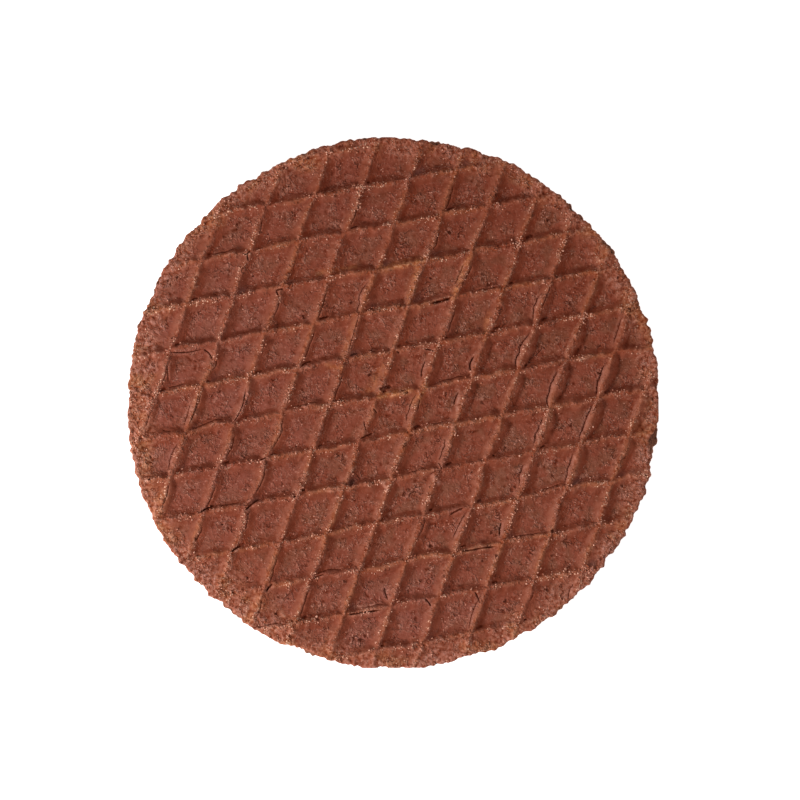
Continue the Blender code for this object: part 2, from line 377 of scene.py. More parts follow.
    # painted shade at the feet and on the lower sides of the flat ridges; darker also at the crossings, on
    # flat ridges in the dim patches and in patches towards the top
    dim = onFlat * (1.0 - floor) * patchShare(x, y, look["dimPatches"])
    shadeAndDarkPatches = np.max(
        (patchShare(x, y, look["darkerTopPatches"]), dim, 0.55 * foot, 0.62 * lower, 0.60 * cross), axis=0
    )
    # painted shadow: soft dark patches in some cell corners
    cornerShadow = corner * np.clip(1.1 * noise(5.0, 36) - 0.2, 0.0, 0.7)
    return dict(
        height=height, ironed=ironed, crest=crest, shadedSide=shadedSide, shadedShelf=shadedShelf, litRamp=litRamp, sparkle=sparkle,
        mauve=mauve, smooth=smooth, corner=corner, rim=rim, crack=crack, gold=gold, pale=pale, shadeAndDarkPatches=shadeAndDarkPatches,
        cornerShadow=cornerShadow,
    )


# meshes

# where the face gets its vertices: rings at the rim, a grid that follows the ridges, strokes
def planPoints(look):
    count = look["ringCount"]
    angles = np.linspace(0.0, fullTurn, count, endpoint=False)
    rings = []
    for number, inset in enumerate(look["rimRings"]):
        turned = angles + (number % 2) * math.pi / count
        reach = outlineRadius(turned, look) - inset
        rings.append(np.stack((reach * np.cos(turned), reach * np.sin(turned)), -1))
    steps = np.array(look["gridSteps"])
    steps = np.concatenate((-steps[::-1], steps[1:]))
    lines = []
    for ridge in ridgeFamilies(look):
        reach = int(biscuit["radius"] / ridge["pitch"]) + 1
        near = steps * ridge["pitch"] / (2.0 * look["gridSteps"][-1])
        places = [ridge["phase"] + k * ridge["pitch"] + near for k in range(-2 * reach, 2 * reach + 1)]
        lines.append(np.unique(np.round(np.concatenate(places), 5)))
    s, t = np.meshgrid(*lines)
    x, y = fromLattice(s.ravel(), t.ravel())
    random = np.random.default_rng(look["seed"])
    x = x + random.uniform(-0.03, 0.03, len(x))
    y = y + random.uniform(-0.03, 0.03, len(y))
    wx, wy = warp(x, y, dict(look, ragged=0.0))
    x, y = x - wx, y - wy
    inside = np.hypot(x, y) < outlineRadius(np.arctan2(y, x), look) - look["rimRings"][-1] - 0.12
    grid = np.stack((x, y), -1)[inside]
    fine = [strokePoints(stroke, look["strokeSpacing"]) for stroke in look["strokes"] if stroke[2] > 0.15]
    if fine:
        fine = np.concatenate(fine)
        gap = outlineRadius(np.arctan2(fine[:, 1], fine[:, 0]), look) - np.hypot(*fine.T)
        fine = fine[gap > 0.2]
        cell = np.round(fine / 0.07).astype(int)
        fine = fine[np.unique(cell, axis=0, return_index=True)[1]]
        taken = set(map(tuple, np.round(fine / 0.16).astype(int)))
        keep = [tuple(spot) not in taken for spot in np.round(grid / 0.16).astype(int)]
        grid = grid[np.array(keep)]
        inner = np.concatenate(rings[1:])
        keep = [tuple(spot) not in taken for spot in np.round(inner / 0.16).astype(int)]
        return rings[0], np.concatenate((inner[np.array(keep)], grid, fine))
    return rings[0], np.concatenate(rings[1:] + [grid])


def fillOutline(outline, inner):      # triangles between an outline and the points inside it
    count = len(outline)
    points = [Vector(p) for p in outline] + [Vector(p) for p in inner]
    edges = [(k, (k + 1) % count) for k in range(count)]
    made = delaunay_2d_cdt(points, edges, [], 0, 1e-5)
    flat = np.array([tuple(v) for v in made[0]])
    triangles = np.array(made[2])
    ringIndex = np.full(count, -1)
    for index, sources in enumerate(made[3]):
        for source in sources:
            if source < count:
                ringIndex[source] = index
    onRing = np.zeros(len(flat), bool)
    onRing[ringIndex] = True
    # triangles that lie outside a hollow of the outline are left out
    suspect = np.flatnonzero(onRing[triangles].all(1))
    middle = flat[triangles[suspect]].mean(1)
    turn = np.arctan2(middle[:, 1], middle[:, 0]) % fullTurn
    ringTurn = np.arctan2(outline[:, 1], outline[:, 0]) % fullTurn
    sortRing = np.argsort(ringTurn)
    reach = np.interp(turn, ringTurn[sortRing], np.hypot(*outline.T)[sortRing], period=fullTurn)
    drop = suspect[np.hypot(*middle.T) > reach - 1e-4]
    triangles = np.delete(triangles, drop, axis=0)
    first, second, third = (flat[triangles[:, k]] for k in range(3))
    area = (
        (second[:, 0] - first[:, 0]) * (third[:, 1] - first[:, 1])
        - (second[:, 1] - first[:, 1]) * (third[:, 0] - first[:, 0])
    )
    triangles = np.where((area < 0)[:, None], triangles[:, ::-1], triangles)[np.abs(area) > 1e-9]
    return flat, triangles, ringIndex


def coarseInside(outline, spacing):
    reach = np.hypot(*outline.T).min() - spacing
    steps = np.arange(-reach, reach + spacing, spacing)
    x, y = (part.ravel() for part in np.meshgrid(steps, steps))
    return np.stack((x, y), -1)[np.hypot(x, y) < reach]


def makeMesh(name, vertices, faces, uvs, values, materials, materialIndex):
    mesh = bpy.data.meshes.new(name)
    mesh.from_pydata((vertices * millimetre).tolist(), [], faces)
    mesh.uv_layers.new(name="OFBake").data.foreach_set("uv", np.asarray(uvs, np.float32).ravel())
    for key, value in values.items():
        mesh.attributes.new(key, "FLOAT", "POINT").data.foreach_set("value", np.asarray(value, np.float32))
    for material in materials:
        mesh.materials.append(material)
    mesh.polygons.foreach_set("material_index", np.asarray(materialIndex, np.int32))
    mesh.shade_smooth()
    mesh.validate()
    piece = bpy.data.objects.new(name, mesh)
    bpy.context.scene.collection.objects.link(piece)
    return piece


def rimStrips(count, first, step, low, high):      # each quarter of a rim has a strip of the texture map
    column = np.arange(count)
    quarter = count // 4
    strip = np.minimum(column // quarter, 3)
    left = 0.02 + 0.94 * (column - strip * quarter) / quarter
    return left, left + 0.94 / quarter, first + step * strip + low, first + step * strip + high


def cornersOf(*places):      # texture places of a row of quads, one (u, v) for each corner
    return np.stack([np.stack(place, -1) for place in places], 1)


def blurOverMesh(values, triangles, rounds):      # each point takes the mean of its neighbours
    ends = np.concatenate([triangles[:, [0, 1]], triangles[:, [1, 2]], triangles[:, [2, 0]]])
    ends = np.concatenate([ends, ends[:, ::-1]])
    total = np.maximum(1, np.bincount(ends[:, 0], minlength=len(values)))
    for _ in range(rounds):
        values = np.bincount(ends[:, 0], values[ends[:, 1]], len(values)) / total
    return values


def makeWafer(name, look, materials):
    print("stroopwafel: shaping", name)
    outline, inner = planPoints(look)
    flat, topFaces, ring = fillOutline(outline, inner)
    relief = faceRelief(flat[:, 0], flat[:, 1], look)
    thickness = look["thickness"]
    topZ = np.minimum(relief["height"], -0.005)
    skinZ = topZ - look["ironedShare"] * relief["ironed"]
    # painted shade in the hollows of the face and painted highlight on its raised places, measured from the
    # blurred height
    dip = blurOverMesh(skinZ, topFaces, look["dipRounds"]) - skinZ
    dip[ring] = 0.0
    relief["hollow"] = np.clip(dip / look["dipDepth"], 0.0, 1.0)
    relief["raised"] = np.clip(-dip / look["dipDepth"], 0.0, 1.0)
    count, levels = len(ring), look["sideLevels"]
    angles, rimRadius, rimZ = np.arctan2(outline[:, 1], outline[:, 0]), np.hypot(*outline.T), topZ[ring]
    sideRings, sideZ = [], []
    for level in range(1, levels + 1):
        part = level / levels
        z = rimZ * (1.0 - part) + (-thickness) * part
        rough = 0.0
        for lumps, height, tall in look["sideLumps"]:
            along = angles / fullTurn * lumps
            rough = rough + height * softNoise(along, z / tall, 1.0, look["seed"] + 60 + lumps, lumps)
        reach = rimRadius + rough * min(1.0, 2.5 * part) - look["sideTaper"] * part
        reach = reach - look["tuckIn"] * (level == levels)
        sideRings.append(np.stack((reach * np.cos(angles), reach * np.sin(angles)), -1))
        sideZ.append(z)
    filling = coarseInside(sideRings[-1], look["insideSpacing"])      # the hidden inner face is flat
    insideFlat, insideFaces, insideRing = fillOutline(sideRings[-1], filling)
    extra = np.setdiff1d(np.arange(len(insideFlat)), insideRing)
    base = len(flat)
    xy = np.concatenate([flat] + sideRings + [insideFlat[extra]])
    z = np.concatenate([topZ] + sideZ + [np.full(len(extra), -thickness)])
    # faces
    index = np.empty(len(insideFlat), int)
    index[insideRing] = base + (levels - 1) * count + np.arange(count)
    index[extra] = base + levels * count + np.arange(len(extra))
    insideFaces = index[insideFaces][:, ::-1]
    column = np.arange(count)
    nextColumn = (column + 1) % count
    quads, quadUv = [], []
    for level in range(levels):
        upper = ring if level == 0 else base + (level - 1) * count + column
        lower = base + level * count + column
        quads.append(np.stack((upper, lower, lower[nextColumn], upper[nextColumn]), -1))
        high, low = (0.013 * (1.0 - step / levels) for step in (level, level + 1))
        u0, u1, v0, v1 = rimStrips(count, 0.925, 0.017, high, low)
        quadUv.append(cornersOf((u0, v0), (u0, v1), (u1, v1), (u1, v0)))
    quads, quadUv = np.concatenate(quads), np.concatenate(quadUv)
    faces = topFaces.tolist() + quads.tolist() + insideFaces.tolist()
    faceUv = 0.01 + 0.90 * (xy + mapReach) / (2.0 * mapReach)
    backUv = np.array((0.955, 0.45)) + 0.03 * xy / mapReach
    uvs = np.concatenate([part.reshape(-1, 2) for part in (faceUv[topFaces], quadUv, backUv[insideFaces])])
    materialIndex = np.concatenate((np.zeros(len(topFaces)), np.ones(len(quads)), np.ones(len(insideFaces))))
    sideCount = len(xy) - len(flat)
    values = {key: np.concatenate((relief[key], np.zeros(sideCount))) for key in look["masks"]}
    values["rim"] = np.concatenate((relief["rim"], np.ones(sideCount)))
    up = look["facing"]
    vertices = np.stack((xy[:, 0], up * xy[:, 1], look["faceZ"] + up * z), -1)
    low, high = np.array(cadBounds[0]) / millimetre + 0.01, np.array(cadBounds[1]) / millimetre - 0.01
    vertices = np.clip(vertices, low, high)
    print("stroopwafel:", name, "has", len(topFaces) + 2 * len(quads) + len(insideFaces), "triangles")
    return makeMesh(name, vertices, faces, uvs, values, materials, materialIndex)


# shader helpers and groups

def addNode(tree, kind, **settings):
    node = tree.nodes.new(kind)
    for key, value in settings.items():
        setattr(node, key, value)
    return node


def feed(tree, socket, value):      # a link where value is a socket, a plain setting otherwise
    if isinstance(value, bpy.types.NodeSocket):
        tree.links.new(value, socket)
    else:
        socket.default_value = value


def sums(tree, operation, first, second=0.0, third=0.0, clamp=False):
    node = addNode(tree, "ShaderNodeMath", operation=operation, use_clamp=clamp)
    for socket, value in zip(node.inputs, (first, second, third)):
        feed(tree, socket, value)
    return node.outputs[0]


def spread(tree, value, low, high, toLow=0.0, toHigh=1.0, soft=True):
    node = addNode(tree, "ShaderNodeMapRange", interpolation_type="SMOOTHSTEP" if soft else "LINEAR")
    for name, setting in (
        ("Value", value), ("From Min", low), ("From Max", high), ("To Min", toLow), ("To Max", toHigh)
    ):
        feed(tree, node.inputs[name], setting)
    return node.outputs[0]


def scaled(tree, value, low, high):      # low where a mask is 0, high where it is 1
    return spread(tree, value, 0.0, 1.0, low, high, False)


def product(tree, *values):
    total = values[0]
    for value in values[1:]:
        total = sums(tree, "MULTIPLY", total, value)
    return total


def blendColor(tree, factor, first, second, mode="MIX"):
    node = addNode(tree, "ShaderNodeMix", data_type="RGBA", blend_type=mode)
    for socket, value in ((node.inputs[0], factor), (node.inputs[6], first), (node.inputs[7], second)):
        feed(tree, socket, value if isinstance(value, (bpy.types.NodeSocket, float, int)) else (*value, 1.0))
    return node.outputs[2]


def mask(tree, name):
    return addNode(tree, "ShaderNodeAttribute", attribute_name=name).outputs["Fac"]


def positionIn(tree):      # place on the biscuit in millimetres
    place = addNode(tree, "ShaderNodeTexCoord").outputs["Object"]
    scale = addNode(tree, "ShaderNodeVectorMath", operation="SCALE")
    feed(tree, scale.inputs[0], place)
    scale.inputs["Scale"].default_value = 1000.0
    return scale.outputs[0]


def newGroup(name, settings, outputs):      # takes a Position and the settings, puts out plain values
    group = bpy.data.node_groups.new(name, "ShaderNodeTree")
    group.interface.new_socket(name="Position", in_out="INPUT", socket_type="NodeSocketVector")
    for label, value in settings.items():
        socket = group.interface.new_socket(name=label, in_out="INPUT", socket_type="NodeSocketFloat")
        socket.default_value = value
    for label in outputs:
        group.interface.new_socket(name=label, in_out="OUTPUT", socket_type="NodeSocketFloat")
    return group, addNode(group, "NodeGroupInput").outputs, addNode(group, "NodeGroupOutput").inputs


def noiseIn(tree, place, scale, detail=2.0, roughness=0.5, distortion=0.0):
    node = addNode(tree, "ShaderNodeTexNoise", noise_dimensions="3D")
    feed(tree, node.inputs["Vector"], place)
    feed(tree, node.inputs["Scale"], scale)
    node.inputs["Detail"].default_value = detail
    node.inputs["Roughness"].default_value = roughness
    node.inputs["Distortion"].default_value = distortion
    return node


def shiftedPlace(tree, place, size, amount):      # bends the place by a noise of the given size
    bend = noiseIn(tree, place, sums(tree, "DIVIDE", 1.0, size), 1.0)
    centred = addNode(tree, "ShaderNodeVectorMath", operation="SUBTRACT")
    feed(tree, centred.inputs[0], bend.outputs["Color"])
    centred.inputs[1].default_value = (0.5, 0.5, 0.5)
    stretch = addNode(tree, "ShaderNodeVectorMath", operation="SCALE")
    feed(tree, stretch.inputs[0], centred.outputs[0])
    feed(tree, stretch.inputs["Scale"], amount)
    moved = addNode(tree, "ShaderNodeVectorMath", operation="ADD")
    feed(tree, moved.inputs[0], place)
    feed(tree, moved.inputs[1], stretch.outputs[0])
    return moved.outputs[0]


def bakedGrainGroup():      # uneven tone of baked batter: fine grain and wide patches
    group, given, made = newGroup("bakedGrain", {"Size": 0.3, "Patch Size": 6.0}, ("Tone", "Patches"))
    fine = noiseIn(group, given["Position"], sums(group, "DIVIDE", 1.0, given["Size"]), 2.0, 0.5)
    patches = noiseIn(group, given["Position"], sums(group, "DIVIDE", 1.0, given["Patch Size"]), 2.0)
    feed(group, made["Tone"], spread(group, fine.outputs[0], 0.28, 0.72, soft=False))
    feed(group, made["Patches"], spread(group, patches.outputs[0], 0.3, 0.7, soft=False))
    return group


def fineWrinklesGroup():      # short curved creases, as in skin that dried while it was pressed
    settings = {"Size": 1.2, "Width": 0.03, "Share": 0.5}
    group, given, made = newGroup("fineWrinkles", settings, ("Crease", "Fold"))
    place = shiftedPlace(group, given["Position"], given["Size"], product(group, given["Size"], 1.2))
    field = noiseIn(group, place, sums(group, "DIVIDE", 1.0, given["Size"]), 1.5, 0.6).outputs[0]
    broken = noiseIn(group, given["Position"], sums(group, "DIVIDE", 0.8, given["Size"]), 1.0).outputs[0]
    least = sums(group, "SUBTRACT", 0.8, product(group, given["Share"], 0.6))
    shown = spread(group, sums(group, "SUBTRACT", broken, least), 0.0, 0.08)
    line = sums(group, "ABSOLUTE", sums(group, "SUBTRACT", field, 0.5))
    crease = spread(group, sums(group, "DIVIDE", line, given["Width"]), 1.0, 0.0)
    feed(group, made["Crease"], product(group, crease, shown))
    ripple = sums(group, "SINE", product(group, field, 60.0))
    feed(group, made["Fold"], product(group, sums(group, "MULTIPLY_ADD", ripple, 0.5, 0.5), shown))
    return group


def granulesGroup():      # packed rounded grains with pores between them
    group, given, made = newGroup("packedGranules", {"Size": 0.4, "Pores": 0.3}, ("Height", "Pore"))
    place = shiftedPlace(group, given["Position"], given["Size"], product(group, given["Size"], 0.8))
    cells = addNode(group, "ShaderNodeTexVoronoi", voronoi_dimensions="3D", feature="SMOOTH_F1")
    feed(group, cells.inputs["Vector"], place)
    feed(group, cells.inputs["Scale"], sums(group, "DIVIDE", 1.0, given["Size"]))
    cells.inputs["Smoothness"].default_value = 0.35
    rough = noiseIn(group, given["Position"], sums(group, "DIVIDE", 1.4, given["Size"]), 2.0, 0.6).outputs[0]
    height = sums(group, "SUBTRACT", rough, product(group, cells.outputs["Distance"], 0.7))
    feed(group, made["Height"], height)
    low = sums(group, "MULTIPLY_ADD", given["Pores"], 0.35, -0.12)
    feed(group, made["Pore"], spread(group, height, low, sums(group, "SUBTRACT", low, 0.10)))
    return group


def scatterGroup():      # small irregular spots, as of crumbs or bubbles
    group, given, made = newGroup("scatteredSpots", {"Size": 0.4, "Share": 0.2}, ("Mask",))
    size = given["Size"]
    place = shiftedPlace(group, given["Position"], product(group, size, 0.6), product(group, size, 0.9))
    cells = addNode(group, "ShaderNodeTexVoronoi", voronoi_dimensions="3D", feature="F1")
    feed(group, cells.inputs["Vector"], place)
    feed(group, cells.inputs["Scale"], sums(group, "DIVIDE", 1.0, given["Size"]))
    chosen = addNode(group, "ShaderNodeSeparateColor")
    feed(group, chosen.inputs[0], cells.outputs["Color"])
    reach = sums(group, "SUBTRACT", chosen.outputs[0], sums(group, "SUBTRACT", 1.0, given["Share"]))
    lit = spread(group, reach, 0.0, 0.12)
    spot = spread(group, cells.outputs["Distance"], 0.50, 0.22)
    feed(group, made["Mask"], product(group, lit, spot))
    return group


def placeGroup(tree, group, **values):
    node = addNode(tree, "ShaderNodeGroup", node_tree=group)
    for name, value in values.items():
        feed(tree, node.inputs[name.replace("_", " ")], value)
    return node.outputs


def newMaterial(name):
    material = bpy.data.materials.new(name)
    material.use_nodes = True
    tree = material.node_tree
    return material, tree, tree.nodes["Principled BSDF"]


bakedGrain, fineWrinkles = bakedGrainGroup(), fineWrinklesGroup()
packedGranules, scatteredSpots = granulesGroup(), scatterGroup()


def bumped(tree, shader, height, distance, strength=1.0):
    bump = addNode(tree, "ShaderNodeBump")
    bump.inputs["Strength"].default_value = strength
    bump.inputs["Distance"].default_value = distance
    feed(tree, bump.inputs["Height"], height)
    feed(tree, shader.inputs["Normal"], bump.outputs[0])


def tinted(tree, color, tone):      # darker batter is also redder, and lighter batter paler
    shade = addNode(tree, "ShaderNodeCombineColor")
    for socket, power in zip(shade.inputs, (0.95, 1.7, 2.25)):
        feed(tree, socket, sums(tree, "POWER", tone, power))
    return blendColor(tree, 1.0, color, shade.outputs[0], "MULTIPLY")


skinLook = {
    "floorColor": (0.226, 0.0570, 0.0320),
    "dullColor": (0.204, 0.0640, 0.0362),
    "mauveColor": (0.236, 0.0685, 0.0465),
    # painted shade: colour of the steep ridges' sides turned away from the light
    "shadedSideColor": (0.250, 0.0570, 0.0285),
    # painted shade: colour of the level ridges' upper sides, turned away from the light
    "shadedShelfColor": (0.226, 0.0550, 0.0285),
    "smoothColor": (0.214, 0.0545, 0.0295),
    "crestColor": (0.252, 0.0615, 0.0280),
    # painted light: colour of the slopes facing the light
    "litRampColor": (0.273, 0.0895, 0.0540),
    "rimColor": (0.342, 0.1130, 0.0700),
    "rimPatchColor": (0.355, 0.1170, 0.0550),
    "goldColor": (0.440, 0.1560, 0.0640),
    "paleColor": (0.560, 0.2500, 0.1750),
    "fleckColor": (0.510, 0.2250, 0.1600),
    # painted highlight: colour of pale specks catching the light
    "bitHighlightColor": (0.830, 0.4450, 0.3000),
    # painted shade: colour in pores, between granules and in creases
    "poreShadeColor": (0.075, 0.0150, 0.0070),
    # painted shadow: colour of the soft dark patches in some cell corners
    "cornerShadowColor": (0.135, 0.0560, 0.0460),
    # painted shade: colour deep in the cracks and clefts
    "crackShadeColor": (0.062, 0.0090, 0.0026),
    "grainSize": 0.25,
    "mottleSize": 0.85,
    "granuleSize": 0.46,
    "wrinkleSize": 1.6,
    "fibreSize": 1.15,
    "dustSize": 0.27,
    "dustShare": 0.17,
    "bitSize": 0.36,
    "bitShare": 0.55,
    "poreSize": 0.75,
    "poreShare": 0.12,
    "bumpDistance": 0.00012,
    "roughness": 0.85,
    "shine": 0.04,
    "ironing": 0.65,      # how much calmer the pressed places are
    "middleTone": 0.48,
    "grainContrast": 0.28,
    "mottleContrast": 0.29,
    # strengths of painted shade and highlight: cell corners, ridge feet with darker patches, hollows, raised
    # places
    "cornerShade": 0.84,
    "shadeAndPatchTone": 0.87,
    "dipShade": 0.42,
    "raisedGlow": 0.32,
    "fibreStrength": 0.20,
    "dustStrength": 0.85,
    "creaseStrength": 0.40,
    "poreStrength": 0.75,
    "rimPores": 0.42,
    "rimBits": 0.36,
    "floorBits": 0.12,
}


def skinMaterial(name, look):
    material, tree, shader = newMaterial(name)
    place = positionIn(tree)

    def grainOf(size, patchSize):
        return placeGroup(tree, bakedGrain, Position=place, Size=size, Patch_Size=patchSize)

    def spotsOf(kind):
        return placeGroup(
            tree, scatteredSpots, Position=place, Size=look[kind + "Size"], Share=look[kind + "Share"],
        )["Mask"]

    def over(amount, key):      # a colour laid over what there is so far
        return blendColor(tree, amount, color, look[key])

    crest, shadedSide, shadedShelf, litRamp, smooth, corner, mauve, rim, gold, crack, dip, raised = (
        mask(tree, key) for key in (
            "crest", "shadedSide", "shadedShelf", "litRamp", "smooth", "corner", "mauve", "rim", "gold", "crack", "hollow",
            "raised",
        )
    )
    coarse = sums(tree, "MAXIMUM", sums(tree, "MAXIMUM", crest, gold), rim)
    rough = sums(tree, "SUBTRACT", 1.0, product(tree, smooth, look["ironing"]), clamp=True)
    rough = product(tree, rough, spread(tree, grainOf(2.6, 9.0)["Tone"], 0.30, 0.75, 0.45, 1.60))
    grain, mottle = grainOf(look["grainSize"], 3.0), grainOf(look["mottleSize"], 18.0)
    crowd = grainOf(1.6, 4.0)
    wrinkles = placeGroup(
        tree, fineWrinkles, Position=place, Size=look["wrinkleSize"], Width=0.035, Share=0.38
    )
    fibres = placeGroup(tree, fineWrinkles, Position=place, Size=look["fibreSize"], Width=0.060, Share=0.75)
    granules = placeGroup(tree, packedGranules, Position=place, Size=look["granuleSize"], Pores=0.30)
    bits, dust, pores = spotsOf("bit"), spotsOf("dust"), spotsOf("pore")
    # batter, then what each place on the lattice looks like
    dull = spread(tree, grain["Patches"], 0.35, 0.85)
    color = blendColor(tree, dull, look["floorColor"], look["dullColor"])
    color = over(mauve, "mauveColor")
    color = over(smooth, "smoothColor")
    # painted shade on the steep ridges' sides turned away from the light
    color = over(shadedSide, "shadedSideColor")
    # painted shade on the level ridges' upper sides
    color = over(shadedShelf, "shadedShelfColor")
    # painted light on the slopes facing the light
    color = over(sums(tree, "MULTIPLY", litRamp, 0.8, clamp=True), "litRampColor")
    color = over(product(tree, mauve, 0.35), "mauveColor")
    color = over(product(tree, crest, 0.9), "crestColor")
    baked = spread(tree, crowd["Patches"], 0.45, 0.85)
    baked = blendColor(tree, baked, look["rimColor"], look["rimPatchColor"])
    color = blendColor(tree, product(tree, rim, 0.85), color, baked)
    color = over(gold, "goldColor")
    color = over(mask(tree, "pale"), "paleColor")
    # tone
    uneven = sums(
        tree, "ADD",
        product(tree, sums(tree, "SUBTRACT", grain["Tone"], look["middleTone"]), look["grainContrast"]),
        product(tree, sums(tree, "SUBTRACT", mottle["Tone"], look["middleTone"]), look["mottleContrast"]),
    )
    fine = sums(tree, "MULTIPLY_ADD", uneven, sums(tree, "MULTIPLY_ADD", coarse, 0.9, rough), 1.0)
    folded = scaled(tree, product(tree, wrinkles["Fold"], rough), 0.97, 1.08)
    lifted = sums(tree, "MULTIPLY_ADD", raised, look["raisedGlow"], 1.0)
    # painted shade in the cell corners, at the ridge feet and in the hollows, painted highlight on raised
    # places, and darker patches
    darker = product(
        tree,
        scaled(tree, corner, 1.0, look["cornerShade"]),
        scaled(tree, mask(tree, "shadeAndDarkPatches"), 1.0, look["shadeAndPatchTone"]),
        sums(tree, "MULTIPLY_ADD", dip, -look["dipShade"], lifted),
    )
    tone = product(tree, fine, scaled(tree, mottle["Patches"], 0.96, 1.04), folded, darker)
    color = tinted(tree, color, tone)
    # small marks
    # painted shadow in some cell corners
    color = over(mask(tree, "cornerShadow"), "cornerShadowColor")
    color = over(product(tree, fibres["Crease"], rough, look["fibreStrength"]), "fleckColor")
    color = over(product(tree, dust, rough, look["dustStrength"]), "fleckColor")
    # painted shade in the pores, between the granules and in the creases
    porous = sums(tree, "MULTIPLY_ADD", rim, look["rimPores"], sums(tree, "MULTIPLY_ADD", crest, 0.25, 0.06))
    hollow = product(tree, granules["Pore"], porous)
    creased = product(tree, wrinkles["Crease"], rough, look["creaseStrength"])
    pitted = product(tree, pores, rough, look["poreStrength"])
    color = over(sums(tree, "MAXIMUM", hollow, sums(tree, "MAXIMUM", creased, pitted)), "poreShadeColor")
    # painted highlights: pale specks where crumbs and grains catch the light
    shown = sums(tree, "MULTIPLY_ADD", rim, look["rimBits"], look["floorBits"])
    lit = sums(tree, "MULTIPLY", bits, sums(tree, "ADD", mask(tree, "sparkle"), shown), clamp=True)
    lit = product(
        tree, lit, spread(tree, crowd["Tone"], 0.30, 0.68), scaled(tree, crowd["Patches"], 0.6, 1.0)
    )
    lit = spread(tree, lit, 0.10, 0.60)
    color = over(lit, "bitHighlightColor")
    # painted shade deep in the carved cracks and clefts
    color = over(sums(tree, "MULTIPLY", crack, 0.95, clamp=True), "crackShadeColor")
    feed(tree, shader.inputs["Base Color"], color)
    roughness = scaled(tree, grain["Tone"], look["roughness"] - 0.1, look["roughness"] + 0.1)
    feed(tree, shader.inputs["Roughness"], roughness)
    shader.inputs["Specular IOR Level"].default_value = look["shine"]
    height = sums(tree, "MULTIPLY_ADD", grain["Tone"], 0.25, product(tree, granules["Height"], 0.9))
    for part, share in (
        (wrinkles["Fold"], 0.4), (fibres["Crease"], 0.6), (wrinkles["Crease"], -0.6), (pores, -0.5),
        (lit, 0.9),
    ):
        height = sums(tree, "MULTIPLY_ADD", part, share, height)
    height = product(tree, height, sums(tree, "MULTIPLY_ADD", coarse, 0.3, rough))
    bumped(tree, shader, height, look["bumpDistance"])
    return material


edgeLook = {
    "color": (0.230, 0.078, 0.0430),
    "paleColor": (0.340, 0.140, 0.0850),
    "poreSize": 0.55,
    "poreShare": 0.45,
    "poreShade": 0.45,
    "grainSize": 0.24,
    "bumpDistance": 0.00018,
    "shine": 0.08,
}


def edgeMaterial(name, look):
    material, tree, shader = newMaterial(name)
    place = positionIn(tree)
    grain = placeGroup(tree, bakedGrain, Position=place, Size=look["grainSize"], Patch_Size=3.0)
    pores = placeGroup(
        tree, scatteredSpots, Position=place, Size=look["poreSize"], Share=look["poreShare"],
    )["Mask"]
    color = blendColor(tree, grain["Patches"], look["color"], look["paleColor"])
    tone = product(tree, scaled(tree, grain["Tone"], 0.75, 1.2), scaled(tree, pores, 1.0, look["poreShade"]))
    shade = addNode(tree, "ShaderNodeCombineColor")
    for socket in shade.inputs:
        feed(tree, socket, tone)
    feed(tree, shader.inputs["Base Color"], blendColor(tree, 1.0, color, shade.outputs[0], "MULTIPLY"))
    feed(tree, shader.inputs["Roughness"], scaled(tree, grain["Tone"], 0.75, 0.95))
    shader.inputs["Specular IOR Level"].default_value = look["shine"]
    bumped(tree, shader, sums(tree, "SUBTRACT", grain["Tone"], pores), look["bumpDistance"])
    return material


syrupLook = {
    "offCentre": (0.14, -0.12),
    "radius": 41.45,
    "seed": 900,
    "rimLumps": ((9, 0.35), (31, 0.30), (70, 0.18), (160, 0.08)),
    "rimDents": ((35.0, 6.0, 0.4), (140.0, 8.0, -0.5), (275.0, 7.0, 0.35), (-8.5, 6.0, -0.9)),
    "bulge": 0.32,
    "color": (0.170, 0.048, 0.0110),
    "deepColor": (0.100, 0.024, 0.0055),
    "roughness": (0.42, 0.62),
    "shine": 0.18,
    "coat": 0.04,
    "bumpDistance": 0.0001,
    "ringCount": 900,
    "levels": 8,
    "overlap": 0.06,      # how far it sinks into each wafer
    "fillSpacing": 2.6,
}


def syrupMaterial(name, look):
    material, tree, shader = newMaterial(name)
    place = positionIn(tree)
    flow = placeGroup(tree, bakedGrain, Position=place, Size=0.9, Patch_Size=4.0)
    color = blendColor(tree, flow["Patches"], look["color"], look["deepColor"])
    feed(tree, shader.inputs["Base Color"], color)
    feed(tree, shader.inputs["Roughness"], scaled(tree, flow["Tone"], *look["roughness"]))
    shader.inputs["Specular IOR Level"].default_value = look["shine"]
    shader.inputs["Coat Weight"].default_value = look["coat"]
    shader.inputs["Coat Roughness"].default_value = 0.20
    bumped(tree, shader, flow["Tone"], look["bumpDistance"], 0.6)
    return material


# strokes on a face

